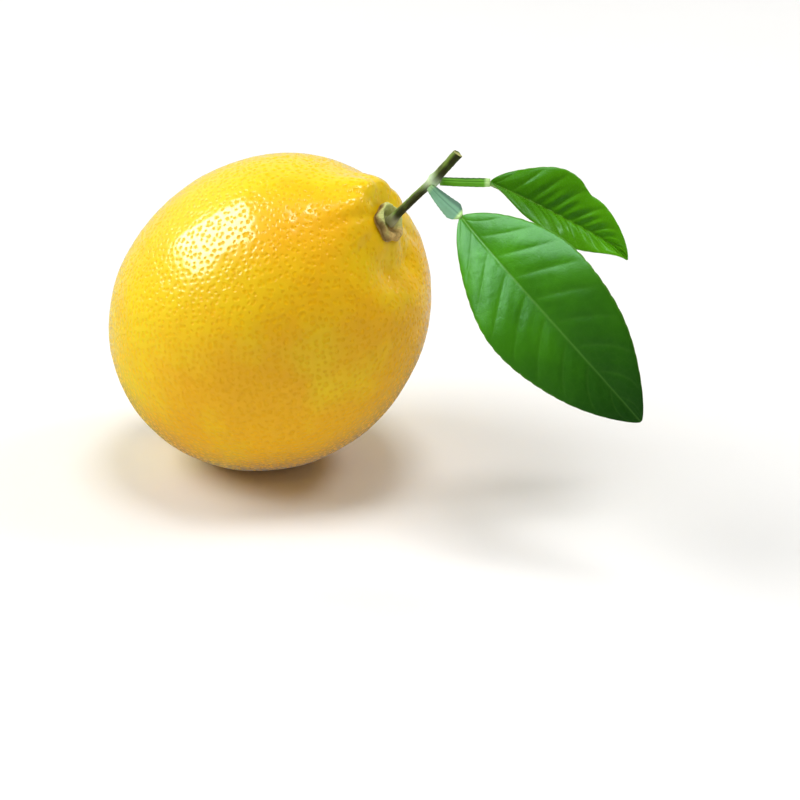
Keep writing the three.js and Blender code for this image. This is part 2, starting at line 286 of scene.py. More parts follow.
class Shading:
    """Writes one node tree: each method adds a node, feeds its sockets and returns its output."""

    def __init__(self, tree: bpy.types.NodeTree) -> None:
        """Keeps the tree, and the object coordinates once something asks for them."""
        self.tree = tree
        self._place: Socket | None = None

    def feed(self, socket: Socket, value: Any) -> None:
        """Links a socket to an output, or sets it to a constant."""
        if isinstance(value, bpy.types.NodeSocket):
            self.tree.links.new(value, socket)
        else:
            socket.default_value = value

    def add(self, kind: str, inputs: dict[Any, Any], **settings: Any) -> bpy.types.Node:
        """Adds a node with these settings and feeds its inputs, by name or by number."""
        node = self.tree.nodes.new(kind)
        for key, value in settings.items():
            setattr(node, key, value)
        for key, value in inputs.items():
            self.feed(node.inputs[key], value)
        return node

    def place(self) -> Socket:
        """Object coordinates, in metres."""
        if self._place is None:
            self._place = self.add("ShaderNodeTexCoord", {}).outputs["Object"]
        return self._place

    def mask(self, name: str) -> Socket:
        """The mesh's mask of this name."""
        node = self.add("ShaderNodeAttribute", {}, attribute_name=name)
        return node.outputs["Fac"]

    def math(self, operation: str, first: Any, second: Any = 0.0, third: Any = 0.0) -> Socket:
        """Arithmetic on numbers."""
        inputs = {0: first, 1: second, 2: third}
        return self.add("ShaderNodeMath", inputs, operation=operation).outputs[0]

    def blend(self, factor: Any, first: Any, second: Any) -> Socket:
        """The first colour where the factor is 0, and the second where it is 1."""
        inputs = {0: factor, 6: first, 7: second}
        return self.add("ShaderNodeMix", inputs, data_type="RGBA").outputs[2]

    def tint(self, ground: Any, *layers: tuple[Any, str]) -> Socket:
        """Lays colours over a ground in order, each where its factor is 1.

        Args:
            ground: the colour at the bottom.
            layers: for each colour its factor, or the name of its mask, and its display code.

        Returns:
            The colour on top.
        """
        for factor, code in layers:
            share = self.mask(factor) if isinstance(factor, str) else factor
            ground = self.blend(share, ground, paint(code))
        return ground

    def remap(self, value: Any, low: float, high: float, to_low: float, to_high: float) -> Socket:
        """A value moved evenly from one range to another, and kept inside it."""
        inputs = {0: value, 1: low, 2: high, 3: to_low, 4: to_high}
        return self.add("ShaderNodeMapRange", inputs).outputs[0]

    def noise(self, size: Any, detail: float = 2.0) -> Socket:
        """Soft noise with features of about this size in mm."""
        scale = self.math("DIVIDE", 1 / METRES, size)
        inputs = {"Vector": self.place(), "Scale": scale, "Detail": detail, "Roughness": 0.55}
        return self.add("ShaderNodeTexNoise", inputs).outputs[0]

    def cells(self, size: Any, feature: str = "F1", randomness: float = 1.0) -> Socket:
        """Distance in a cell pattern whose cells are about this size in mm."""
        scale = self.math("DIVIDE", 1 / METRES, size)
        inputs = {"Vector": self.place(), "Scale": scale, "Randomness": randomness}
        node = self.add("ShaderNodeTexVoronoi", inputs, feature=feature)
        return node.outputs["Distance"]

    def group(self, tree: bpy.types.NodeTree, inputs: dict[str, Any]) -> bpy.types.Node:
        """Places a shared group and feeds its inputs."""
        return self.add("ShaderNodeGroup", inputs, node_tree=tree)

    def bump(self, height: Any, depth: float, under: Any = None) -> Socket:
        """A normal bent by a height from 0 to 1, whose full depth is given in mm."""
        inputs: dict[str, Any] = {"Strength": 1.0, "Distance": depth * METRES, "Height": height}
        if under is not None:
            inputs["Normal"] = under
        return self.add("ShaderNodeBump", inputs).outputs[0]


def new_group(name: str, takes: dict[str, str], gives: dict[str, str]) -> tuple[Shading, Any, Any]:
    """An empty shader group with named sockets.

    Args:
        name: the group's name.
        takes: input names and their socket kinds.
        gives: output names and their socket kinds.

    Returns:
        The writer of its tree, the node that gives its inputs and the node that takes its outputs.
    """
    tree = bpy.data.node_groups.new(name, "ShaderNodeTree")
    for label, kind in takes.items():
        tree.interface.new_socket(label, in_out="INPUT", socket_type=kind)
    for label, kind in gives.items():
        tree.interface.new_socket(label, in_out="OUTPUT", socket_type=kind)
    shading = Shading(tree)
    source = shading.add("NodeGroupInput", {})
    sink = shading.add("NodeGroupOutput", {})
    return shading, source, sink


FLOAT = "NodeSocketFloat"
COLOUR = "NodeSocketColor"


class SharedEffects:
    """The node groups that more than one finish uses."""

    def __init__(self) -> None:
        """Builds each group once."""
        self.mottle = self._mottle()
        self.tissue = self._tissue()
        self.network = self._network()

    @staticmethod
    def _mottle() -> bpy.types.NodeTree:
        """Two colours in soft patches: noise of the given size, stretched in contrast."""
        takes = {"Size": FLOAT, "First": COLOUR, "Second": COLOUR, "Balance": FLOAT}
        shading, source, sink = new_group("soft_patches", takes, {"Colour": COLOUR, "Mask": FLOAT})
        noise = shading.noise(source.outputs["Size"], 3.0)
        shifted = shading.math("ADD", noise, source.outputs["Balance"])
        mask = shading.remap(shifted, 0.35, 0.65, 0.0, 1.0)
        blended = shading.blend(mask, source.outputs["First"], source.outputs["Second"])
        shading.feed(sink.inputs["Colour"], blended)
        shading.feed(sink.inputs["Mask"], mask)
        return shading.tree

    @staticmethod
    def _tissue() -> bpy.types.NodeTree:
        """Fine relief of plant skin: small noise with smaller cells in it, from 0 to 1."""
        shading, source, sink = new_group("fine_skin", {"Size": FLOAT}, {"Height": FLOAT})
        size = source.outputs["Size"]
        soft = shading.noise(size, 2.0)
        cells = shading.cells(shading.math("MULTIPLY", size, 0.6))
        height = shading.math("MULTIPLY_ADD", cells, 0.5, shading.math("MULTIPLY", soft, 0.6))
        shading.feed(sink.inputs["Height"], height)
        return shading.tree

    @staticmethod
    def _network() -> bpy.types.NodeTree:
        """A net of thin lines between cells: 1 on a line, 0 away from it."""
        takes = {"Size": FLOAT, "Width": FLOAT}
        shading, source, sink = new_group("fine_net", takes, {"Mask": FLOAT})
        edge = shading.cells(source.outputs["Size"], "DISTANCE_TO_EDGE", 0.9)
        share = shading.math("DIVIDE", edge, source.outputs["Width"])
        shading.feed(sink.inputs["Mask"], shading.remap(share, 0.0, 1.0, 1.0, 0.0))
        return shading.tree

    def patches(
        self, shading: Shading, size: float, first: Any, second: Any, balance: Any
    ) -> Socket:
        """Soft patches of about this size in mm. A higher balance favours the second colour."""
        inputs = {"Size": size, "First": first, "Second": second, "Balance": balance}
        return shading.group(self.mottle, inputs).outputs["Colour"]

    def skin(
        self, shading: Shading, shader: bpy.types.Node, size: float, depth: float,
        roughness: tuple[float, float],
    ) -> None:
        """Fine relief of this size and depth in mm, and a roughness that follows it."""
        fine = shading.group(self.tissue, {"Size": size}).outputs["Height"]
        shading.feed(shader.inputs["Roughness"], shading.remap(fine, 0.2, 0.8, *roughness))
        shading.feed(shader.inputs["Normal"], shading.bump(fine, depth))


def new_material(name: str) -> tuple[Shading, bpy.types.Node, bpy.types.Material]:
    """A material, the writer of its tree and its Principled shader."""
    material = bpy.data.materials.new(name)
    material.use_nodes = True
    principled = material.node_tree.nodes["Principled BSDF"]
    return Shading(material.node_tree), principled, material


@dataclass(frozen=True)
class RindFinish:
    """Yellow rind under a coat of wax, in patches of two yellows and green by the calyx.
    The patches lean to the deeper yellow on the side turned away from the lights, as painted shade.

    The wax is thin in the oil glands, so they stay deep yellow where the rest shines.
    """

    effects: SharedEffects
    bright: str = "fed900"
    deep: str = "fdbd00"
    gland: str = "f2b000"
    green: str = "c9b81a"
    scar: str = "7a5a22"
    gland_tint: float = 0.4
    green_tint: float = 0.12
    gland_depth: float = 0.055
    gland_edge: tuple[float, float] = (0.18, 0.52)
    wobble: float = 0.6
    wobbles_a_mm: float = 1.1

    def build(self) -> bpy.types.Material:
        """The material."""
        shading, shader, material = new_material("waxy_rind")
        # painted shade: the patches lean to the deeper yellow on the side turned away from the
        # lights
        balance = shading.remap(shading.mask("painted_shade"), 0.0, 1.0, -0.28, 0.12)
        bright, deep = paint(self.bright), paint(self.deep)
        ground = self.effects.patches(shading, 18.0, bright, deep, balance)
        gland = self._pits(shading)
        gland_tint = shading.math("MULTIPLY", gland, self.gland_tint)
        greenish = shading.math("MULTIPLY", shading.mask("stem_end"), self.green_tint)
        layers = (gland_tint, self.gland), (greenish, self.green), ("style_scar", self.scar)
        shading.feed(shader.inputs["Base Color"], shading.tint(ground, *layers))
        speckle = shading.remap(shading.noise(1.1, 2.0), 0.3, 0.7, 0.35, 0.5)
        shading.feed(shader.inputs["Roughness"], speckle)
        fine = shading.group(self.effects.tissue, {"Size": 0.5}).outputs["Height"]
        proud = shading.math("SUBTRACT", 1.0, gland)
        pitted = shading.bump(proud, self.gland_depth)
        shading.feed(shader.inputs["Normal"], shading.bump(fine, 0.018, pitted))
        shading.feed(shader.inputs["Coat Weight"], proud)
        shading.feed(shader.inputs["Coat Normal"], pitted)
        shader.inputs["Coat Roughness"].default_value = 0.16
        shader.inputs["Specular IOR Level"].default_value = 0.1
        shader.inputs["Subsurface Weight"].default_value = 0.12
        shader.inputs["Subsurface Radius"].default_value = (1.0, 0.6, 0.1)
        shader.inputs["Subsurface Scale"].default_value = 0.002
        return material

    def _pits(self, shading: Shading) -> Socket:
        """1 inside a gland and 0 outside: a round spot about the chart's origin on each face.

        The chart is pushed about a little by noise, so that no spot is a true circle.
        """
        chart = shading.add("ShaderNodeUVMap", {}, uv_map="chart").outputs[0]
        scale = self.wobbles_a_mm / METRES
        noise = {"Vector": shading.place(), "Scale": scale, "Detail": 2.0}
        push = shading.add("ShaderNodeTexNoise", noise).outputs["Color"]
        centred = {0: push, 1: (0.5, 0.5, 0.5)}
        push = shading.add("ShaderNodeVectorMath", centred, operation="SUBTRACT").outputs[0]
        shaken = {0: push, 1: (self.wobble, self.wobble, 0.0), 2: chart}
        shaken = shading.add("ShaderNodeVectorMath", shaken, operation="MULTIPLY_ADD").outputs[0]
        away = shading.add("ShaderNodeVectorMath", {0: shaken}, operation="LENGTH").outputs["Value"]
        inputs = {0: away, 1: self.gland_edge[0], 2: self.gland_edge[1], 3: 1.0, 4: 0.0}
        pit = shading.add("ShaderNodeMapRange", inputs, interpolation_type="SMOOTHSTEP").outputs[0]
        return shading.math("MULTIPLY", pit, shading.mask("glandular"))


@dataclass(frozen=True)
class CalyxFinish:
    """Drying sepals: pale green on the upper side, tan and brown lower down, painted shade in the
    groove.
    """

    effects: SharedEffects
    green: str = "d0d684"
    tan: str = "dcba70"
    brown: str = "a07c38"
    wall: str = "54400e"
    dark: str = "3a2808"
    wall_tint: float = 0.85

    def build(self) -> bpy.types.Material:
        """The material."""
        shading, shader, material = new_material("dry_calyx")
        dry = self.effects.patches(shading, 1.3, paint(self.tan), paint(self.brown), -0.05)
        # dry brown outer wall, strongest on one side, where its darkness is partly painted shade in
        # the crevice
        wall = shading.math("MULTIPLY", shading.mask("outer"), self.wall_tint)
        # the dark colour in the groove round the stalk is painted shade, darkest on one side
        layers = ("fresh", self.green), (wall, self.wall), ("fold", self.dark)
        shading.feed(shader.inputs["Base Color"], shading.tint(dry, *layers))
        self.effects.skin(shading, shader, 0.45, 0.12, (0.6, 0.85))
        return material


@dataclass(frozen=True)
class BarkFinish:
    """Green bark: painted light on top, shade below, streaked along; a pale node, brown wood at the
    cut.
    """

    effects: SharedEffects
    light: str = "71902c"
    dark: str = "34390c"
    node: str = "d2ecc0"
    foot: str = "b2b088"
    wood: str = "b9b870"

    def build(self) -> bpy.types.Material:
        """The material."""
        shading, shader, material = new_material("green_bark")
        # painted light and shade: the light green where the twig faces up towards the lights, the
        # dark green below
        striped = shading.blend(shading.mask("stripe"), paint(self.dark), paint(self.light))
        bark = self.effects.patches(shading, 2.2, striped, paint(self.dark), -0.12)
        layers = ("node", self.node), ("foot", self.foot), ("cut", self.wood)
        shading.feed(shader.inputs["Base Color"], shading.tint(bark, *layers))
        self.effects.skin(shading, shader, 0.35, 0.04, (0.38, 0.58))
        shader.inputs["Specular IOR Level"].default_value = 0.25
        return material


@dataclass(frozen=True)
class PetioleFinish:
    """Leaf stalk: a bright upper side with a dark stripe along one edge, and a pale joint."""

    effects: SharedEffects
    name: str
    upper: str
    lower: str
    stripe: str
    joint: str = "b6e08c"

    def build(self) -> bpy.types.Material:
        """The material."""
        shading, shader, material = new_material(self.name)
        top = self.effects.patches(shading, 4.0, paint(self.upper), paint(self.lower), -0.16)
        layers = ("flank", self.lower), ("stripe", self.stripe), ("joint", self.joint)
        shading.feed(shader.inputs["Base Color"], shading.tint(top, *layers))
        self.effects.skin(shading, shader, 0.3, 0.03, (0.36, 0.52))
        shader.inputs["Specular IOR Level"].default_value = 0.25
        return material


@dataclass(frozen=True)
class BladeFinish:
    """Leaf blade: glossy green above with paler veins and margin, dull grey-green below."""

    effects: SharedEffects
    name: str
    ground: str
    patch: str
    vein: str
    margin: str
    under: str
    far: str
    gloss: float = 0.34

    def build(self) -> bpy.types.Material:
        """The material."""
        shading, shader, material = new_material(self.name)
        ground = self.effects.patches(shading, 9.0, paint(self.ground), paint(self.patch), 0.0)
        net = shading.group(self.effects.network, {"Size": 1.7, "Width": 0.12}).outputs["Mask"]
        fine_net = shading.group(self.effects.network, {"Size": 0.7, "Width": 0.1}).outputs["Mask"]
        layers = (
            # towards the tip; on the dark leaf this far colour is painted shade where the blade
            # turns away
            (shading.remap(shading.mask("reach"), 0.25, 0.95, 0.0, 0.9), self.far),
            (shading.math("MULTIPLY", net, 0.02), self.vein),
            (shading.math("MULTIPLY", fine_net, 0.015), self.vein),
            (shading.math("MULTIPLY", shading.mask("side_vein"), 0.07), self.vein),
            ("midrib", self.vein),
            ("margin", self.margin),
            ("under", self.under),
        )
        shading.feed(shader.inputs["Base Color"], shading.tint(ground, *layers))
        dull = shading.math("MULTIPLY_ADD", shading.mask("under"), 0.3, self.gloss)
        grain = shading.group(self.effects.tissue, {"Size": 0.5}).outputs["Height"]
        rough = shading.math("MULTIPLY_ADD", grain, 0.12, dull)
        shading.feed(shader.inputs["Roughness"], rough)
        relief = shading.math("MULTIPLY_ADD", net, -0.2, shading.math("MULTIPLY", grain, 0.45))
        relief = shading.math("MULTIPLY_ADD", fine_net, -0.12, relief)
        shading.feed(shader.inputs["Normal"], shading.bump(relief, 0.03))
        shader.inputs["Specular IOR Level"].default_value = 0.21
        shader.inputs["Specular Tint"].default_value = (0.55, 1.0, 0.8, 1.0)
        return material


# The fruit


@dataclass(frozen=True)
class FruitShape:
    """The fruit's form in its own frame: Z along its axis to the stem end, X level.

    An egg of revolution, with a leaning collar and the calyx seat at the stem end, a nipple in a
    shallow moat at the blossom end, furrows by the calyx and a slight lopsidedness.
    """

    radius: float = 31.4
    stem_half: float = 36.6
    blossom_half: float = 35.3
    tilt: float = 43.0
    heading: float = 25.4
    centre: tuple[float, float, float] = (3.65, -1.1, 32.48)
    seat: tuple[float, float] = (-1.15, -1.3)
    seat_depth: float = 0.9
    seat_radius: float = 2.4
    collar_height: float = 0.65
    collar_lean: float = 3.4
    collar_towards: float = 81.0
    collar_radius: float = 8.1
    collar_width: float = 5.2
    floor_radius: float = 2.2
    nipple_length: float = 6.0
    nipple_radius: float = 5.2
    nipple_power: float = 2.6
    moat_depth: float = 0.7
    moat_radius: float = 9.0
    moat_width: float = 2.6
    furrows: int = 9
    furrow_depth: float = 0.45
    furrow_radius: float = 9.5
    furrow_width: float = 5.0
    furrow_wander: float = 0.9
    lopsided: tuple[float, float] = (0.35, 0.25)

    def axes(self) -> Array:
        """The frame's X, Y and Z as rows, in the part's frame."""
        axis = direction(self.heading, self.tilt)
        level = unit(np.cross([0.0, 0.0, 1.0], axis))
        return np.stack([level, np.cross(axis, level), axis])

    def to_part(self, local: Array) -> Array:
        """Points of the fruit's frame in the part's frame."""
        return np.array(self.centre) + local @ self.axes()

    def from_seat(self, x: Array, y: Array) -> tuple[Array, Array]:
        """Distance and angle from the middle of the seat, for points across the axis."""
        x, y = x - self.seat[0], y - self.seat[1]
        return np.hypot(x, y), np.arctan2(y, x)

    def stem_rise(self, x: Array, y: Array) -> Array:
        """Height that the collar and the seat add at a point across the fruit's axis.

        A ring-shaped bell that rises on one side of the seat and falls on the other, with a flat
        floor inside it, minus a flat-topped bell for the seat.
        """
        rho, phi = self.from_seat(x, y)
        towards = np.cos(phi - math.radians(self.collar_towards))
        lean = self.collar_lean * towards * np.minimum(rho / self.collar_radius, 1)
        ring = gaussian(np.maximum(rho, self.floor_radius), self.collar_radius, self.collar_width)
        seat = self.seat_depth * np.exp(-((rho / self.seat_radius) ** 4))
        return (self.collar_height + lean) * ring - seat

    def stem_height(self, x: Array, y: Array) -> Array:
        """Height of the rind above the fruit's centre, near the stem end."""
        bowl = self.stem_half * np.sqrt(1 - (x * x + y * y) / self.radius**2)
        return bowl + self.stem_rise(x, y)

    def seat_normal(self) -> Array:
        """The direction that the floor of the seat faces, in the part's frame."""
        x, y = self.seat
        along_x = self.stem_height(x + 1, y) - self.stem_height(x - 1, y)
        along_y = self.stem_height(x, y + 1) - self.stem_height(x, y - 1)
        return unit(np.array([-along_x / 2, -along_y / 2, 1.0]) @ self.axes())

    def rind(self, theta: Array, phi: Array) -> Array:
        """Points of the smooth rind.

        Args:
            theta: angle from the stem end, in radians.
            phi: angle round the axis, in radians.

        Returns:
            Points in the fruit's frame: the egg, with its ends shaped along the axis, then moved
            along its outward direction by the lopsidedness and the furrows.
        """
        cos, sin = np.cos(theta), np.sin(theta)
        rho = self.radius * sin
        x, y = rho * np.cos(phi), rho * np.sin(phi)
        stem = self.stem_half * cos + self.stem_rise(x, y)
        nipple = self.nipple_length * np.exp(-((rho / self.nipple_radius) ** self.nipple_power))
        moat = self.moat_depth * gaussian(rho, self.moat_radius, self.moat_width)
        z = np.where(cos > 0, stem, self.blossom_half * cos - (nipple - moat))
        point = np.stack([x, y, z], axis=-1)
        outward = unit(point / np.array([self.radius, self.radius, self.stem_half]) ** 2)
        two, three = self.lopsided
        uneven = two * np.sin(2 * phi + 0.6) * sin**2 + three * np.cos(3 * phi - 1) * sin**3
        wave = 0.5 + 0.5 * np.cos(self.furrows * phi + self.furrow_wander * np.sin(2 * phi + 1))
        near = gaussian(rho, self.furrow_radius, self.furrow_width)
        furrow = self.furrow_depth * near * wave**2 * (cos > 0)
        return point + outward * (uneven - furrow)[..., None]


@dataclass(frozen=True)
class Glands:
    """The oil glands of the rind: pits on a sunflower lattice, each nudged from its place.

    The lattice lies on a sphere about as large as the fruit. Sizes run from the smallest share
    of the usual one to the largest.
    """

    spacing: float = 1.4
    depth: float = 0.05
    width: float = 0.42
    nudge: float = 0.33
    sizes: tuple[float, float] = (0.75, 1.25)
    sphere: float = 32.0
    seed: int = 7

    def nearest(self, directions: Array) -> tuple[Array, Array]:
        """Finds the gland closest to each direction.

        The lattice puts point i at height 1 - (2i + 1) / n and at i golden turns. Near a given
        direction its points form a skewed grid, whose two steps are found from the height, so
        sixteen candidates round the direction are enough.

        Args:
            directions: unit vectors.

        Returns:
            The direction of the gland's middle, and the gland's size beside the usual one.
        """
        count = round(4 * math.pi * self.sphere**2 / (0.866 * self.spacing**2))
        height = directions[..., 2]
        ring = np.maximum(count * math.pi * math.sqrt(5) * (1 - height**2), 1e-9)
        order = np.maximum(2, np.floor(np.log(ring) / math.log(GOLDEN**2)))
        step = GOLDEN**order / math.sqrt(5)
        steps = np.stack([np.round(step), np.round(step * GOLDEN)])
        turns = TURN * (np.mod((steps + 1) * (GOLDEN - 1), 1) - (GOLDEN - 1))
        rises = -2 * steps / count
        azimuth = np.arctan2(directions[..., 1], directions[..., 0])
        below = height - (1 - 1 / count)
        size = turns[0] * rises[1] - turns[1] * rises[0]
        first_cell = np.floor((rises[1] * azimuth - turns[1] * below) / size)
        second_cell = np.floor((turns[0] * below - rises[0] * azimuth) / size)
        closest = np.zeros_like(height, dtype=np.int64)
        least = np.full_like(height, np.inf)
        for a, b in itertools.product(range(-1, 3), repeat=2):
            level = rises[0] * (first_cell + a) + rises[1] * (second_cell + b) + 1 - 1 / count
            level = 2 * np.clip(level, -1, 1) - level
            index = np.clip(np.floor(count * (1 - level) / 2), 0, count - 1).astype(np.int64)
            gap = np.linalg.norm(self.point(index, count) - directions, axis=-1)
            closest = np.where(gap < least, index, closest)
            least = np.minimum(gap, least)
        cell = np.stack([closest, closest * 0 + 1, closest * 0 + 2], axis=-1)
        smallest, largest = self.sizes
        share = smallest + (largest - smallest) * hashed(cell, self.seed + 3)
        return self.point(closest, count), share

    def point(self, index: Array, count: int) -> Array:
        """The lattice's points of these numbers, each nudged by a hashed share of the spacing."""
        z = 1 - (2 * index + 1) / count
        turn = TURN * np.mod(index * (GOLDEN - 1), 1)
        flat = np.sqrt(1 - z * z)
        spot = np.stack([flat * np.cos(turn), flat * np.sin(turn), z], axis=-1)
        cell = np.stack([index, index * 0 + 1, index * 0 + 2], axis=-1)
        nudges = [hashed(cell, self.seed + axis) - 0.5 for axis in range(3)]
        reach = 2 * self.nudge * self.spacing / self.sphere
        return unit(spot + reach * np.stack(nudges, axis=-1))

    def pits(self, local: Array) -> Array:
        """Depth in mm below the rind: a bell over each gland, by its distance in mm."""
        middle, size = self.nearest(unit(local))
        gap = np.linalg.norm((unit(local) - middle) * lengths(local), axis=-1)
        return self.depth * gaussian(gap / size, 0.0, self.width)

    def chart(self, corners: Array) -> Array:
        """Places each corner of each face on a flat map round the gland nearest to the face.

        Args:
            corners: the corners of the faces, from the fruit's centre in mm.

        Returns:
            Each corner's two coordinates in mm from the gland's middle, over the gland's size.
        """
        middle, size = self.nearest(unit(corners.mean(axis=1)))
        steep = np.abs(middle[:, 2:]) > 0.9
        across = unit(np.cross(middle, np.where(steep, (1.0, 0.0, 0.0), (0.0, 0.0, 1.0))))
        frame = np.stack([across, np.cross(middle, across)], axis=-1)
        away = (unit(corners) - middle[:, None, :]) * lengths(corners)
        return (away @ frame / size[:, None, None]).reshape(-1, 2)


@dataclass(frozen=True)
class Fruit:
    """The whole fruit, on a grid wrapped from the six faces of a cube."""

    shape: FruitShape
    glands: Glands
    finish: RindFinish
    cells: int = 127
    flat_blend: float = 0.25
    swells: tuple[tuple[float, float], ...] = ((0.13, 8.0), (0.05, 3.5), (0.035, 1.5))
    ripple_height: float = 0.03
    ripple_step: float = 2.6
    streak_height: float = 0.035
    bare_stem: tuple[float, float] = (3.6, 6.5)
    bare_blossom: tuple[float, float] = (1.0, 4.0)
    # the side turned away from the lights, where the rind gets painted shade in deeper yellow
    shade_side: tuple[float, float, float] = (0.5, -0.75, -0.43)

    def directions(self) -> tuple[Array, Array]:
        """Even directions over the sphere, and the faces between them.

        Each face of a cube carries a square grid with steps of equal angle, so a grid line at
        angle a lies at height tan(a) on the face. Points that two faces share are merged.

        Returns:
            The directions, and the four-cornered faces as numbers of directions.
        """
        angle = np.tan(np.linspace(-math.pi / 4, math.pi / 4, self.cells + 1))
        u, v = np.meshgrid(angle, angle, indexing="ij")
        one = np.ones_like(u)
        sides = ((one, u, v), (-one, v, u), (v, one, u), (u, -one, v), (u, v, one), (v, u, -one))
        sheets = [np.stack(side, axis=-1) for side in sides]
        spots = unit(np.concatenate([sheet.reshape(-1, 3) for sheet in sheets]))
        keys = np.round(spots * 1e6).astype(np.int64)
        _, keep, number = np.unique(keys, axis=0, return_index=True, return_inverse=True)
        grid = np.arange((self.cells + 1) ** 2).reshape(self.cells + 1, self.cells + 1)
        corners = [grid[:-1, :-1], grid[1:, :-1], grid[1:, 1:], grid[:-1, 1:]]
        quads = np.stack(corners, axis=-1).reshape(-1, 4)
        starts = np.arange(6)[:, None, None] * grid.size
        return spots[keep], number.ravel()[(quads + starts).reshape(-1, 4)]

    def shell(self) -> Shell:
        """The rind with its glands, its slow swells, its ripples and its flat resting spot.

        Ripples run round the axis, most of all on the shoulder by the stem end. Near both ends
        the rind is smooth. The flat spot is eased in by a parabola about the floor's height.
        """
        spots, quads = self.directions()
        theta = np.arccos(np.clip(spots[:, 2], -1, 1))
        phi = np.arctan2(spots[:, 1], spots[:, 0])
        local = self.shape.rind(theta, phi)
        outward = unit(local / np.array([1.0, 1.0, 1.25]))
        on_stem = spots[:, 2] > 0
        from_seat, _ = self.shape.from_seat(local[:, 0], local[:, 1])
        rho = np.where(on_stem, from_seat, np.hypot(local[:, 0], local[:, 1]))
        stem_clear = smooth_step(*self.bare_stem, rho)
        clear = np.where(on_stem, stem_clear, smooth_step(*self.bare_blossom, rho))
        swell = sum(
            height * lumps(local, step, seed)
            for seed, (height, step) in enumerate(self.swells, start=1)
        )
        ripple = np.cos(TURN * local[:, 2] / self.ripple_step + 2.5 * lumps(local, 9.0, 5))
        streak = lumps(local * np.array([0.25, 0.25, 1.0]), 2.0, 6)
        ripple = self.ripple_height * ripple + self.streak_height * streak
        swell = swell + ripple * np.where(on_stem, gaussian(rho, 16.0, 5.0), 0.0)
        lift = clear * (swell - self.glands.pits(local))
        points = self.shape.to_part(local + outward * lift[:, None])
        blend = self.flat_blend
        eased = np.clip(points[:, 2] + blend, 0, 2 * blend) ** 2 / (4 * blend)
        points[:, 2] = np.where(points[:, 2] > blend, points[:, 2], eased)
        # painted shade: near 1 on the side turned away from the lights, where the rind turns deeper
        # yellow
        turned_from_light = unit(local) @ self.shape.axes() @ np.array(self.shade_side)
        masks = {
            "glandular": clear,
            "painted_shade": smooth_step(-0.7, 0.7, turned_from_light),
            "stem_end": np.where(on_stem, gaussian(rho, 3.5, 4.5), 0.0),
            "style_scar": np.where(on_stem, 0.0, gaussian(rho, 0.0, 1.0)),
        }
        chart = self.glands.chart(local[quads])
        return Shell(points, quads, np.zeros((0, 3), dtype=int), masks, chart)

    def build(self) -> None:
        """Adds the fruit to the scene."""
        make_piece("fruit", self.shell(), self.finish.build())


@dataclass(frozen=True)
class Calyx:
    """The calyx button: a cup of blunt sepals that follows the seat, lumpy on its rim."""

    shape: FruitShape
    finish: CalyxFinish
    radius: float = 3.6
    sepals: int = 5
    lobe: float = 0.09
    rim_radius: float = 2.8
    rim_width: float = 0.75
    rim_height: float = 0.7
    lean: float = 0.45
    towards: float = 75.0
    floor: float = 1.0
    groove_depth: float = 0.35
    groove_radius: float = 1.75
    groove_width: float = 0.4
    lift: float = 0.08

    def thickness(self, rho: Array, phi: Array) -> Array:
        """A floor with a groove and a raised rim, higher on each sepal and towards one side."""
        leaning = self.lean * np.cos(phi - math.radians(self.towards))
        crest = self.rim_height * (0.88 + 0.12 * np.cos(self.sepals * phi) + leaning)
        rim = crest * gaussian(rho, self.rim_radius, self.rim_width)
        groove = self.groove_depth * gaussian(rho, self.groove_radius, self.groove_width)
        return self.floor + CLEARANCE - self.lift + rim - groove

    def floor_height(self) -> float:
        """Height of the middle of the cup's floor above the fruit's centre."""
        middle = np.array(0.0)
        seat = self.shape.stem_height(*self.shape.seat)
        return float(seat + self.lift + self.thickness(middle, middle))

    def shell(self) -> Shell:
        """The cup, from the middle of its underside out to its edge and back over its rim."""
        columns = 150
        under = np.linspace(0.04, 1, 24)
        over = np.linspace(1, 0.03, 46)
        share = np.concatenate([under, over])[:, None]
        is_over = np.concatenate([0 * under, 0 * over + 1])[:, None]
        phi = np.linspace(0, TURN, columns, endpoint=False)[None, :]
        rho = share * self.radius * (1 + self.lobe * np.cos(self.sepals * phi))
        x = self.shape.seat[0] + rho * np.cos(phi)
        y = self.shape.seat[1] + rho * np.sin(phi)
        base = self.shape.stem_height(x, y) + self.lift
        spots = np.stack([x, y, base], axis=-1)
        rough = 0.14 * lumps(spots, 0.9, 11) + 0.07 * lumps(spots, 0.4, 12)
        spokes = 0.05 * np.cos(34 * phi + 3 * np.sin(3 * phi)) * smooth_step(1.6, 3.2, rho)
        edge = smooth_step(1.0, 0.93, share)
        rise = self.thickness(rho, phi) * (0.35 + 0.65 * edge) + (rough + spokes) * edge
        height = base + is_over * rise
        rings = np.stack([x, y, height], axis=-1)
        middle = self.floor_height()
        bottom = middle - float(self.thickness(np.array(0.0), np.array(0.0)))
        start, end = np.array([[*self.shape.seat, bottom], [*self.shape.seat, middle]])
        towards = np.cos(phi - math.radians(self.towards))
        fresh = smooth_step(-0.85, 0.1, towards + 0.3 * lumps(spots, 1.5, 13)) * is_over
        left = smooth_step(-0.2, 0.6, np.cos(phi - math.radians(160.0)))
        # painted shade in the groove round the stalk, darkest on one side
        fold = (0.3 + 0.6 * left) * gaussian(rho, self.groove_radius, 0.45) * is_over
        # the outer wall, mostly on one side: dry brown, and there partly painted shade in the
        # crevice
        outer = smooth_step(0.92, 1.0, share + 0.03 * lumps(spots, 0.8, 14))
        outer = outer * (0.3 + 0.7 * smooth_step(-0.3, 0.5, np.cos(phi - math.radians(140.0))))
        masks = {"fresh": fresh * (1 - outer), "fold": fold, "outer": outer * is_over}
        shell = loft(rings, start, end, masks)
        shell.points = self.shape.to_part(shell.points)
        return shell

    def build(self) -> None:
        """Adds the calyx to the scene."""
        make_piece("calyx", self.shell(), self.finish.build())


# The twig and the leaves


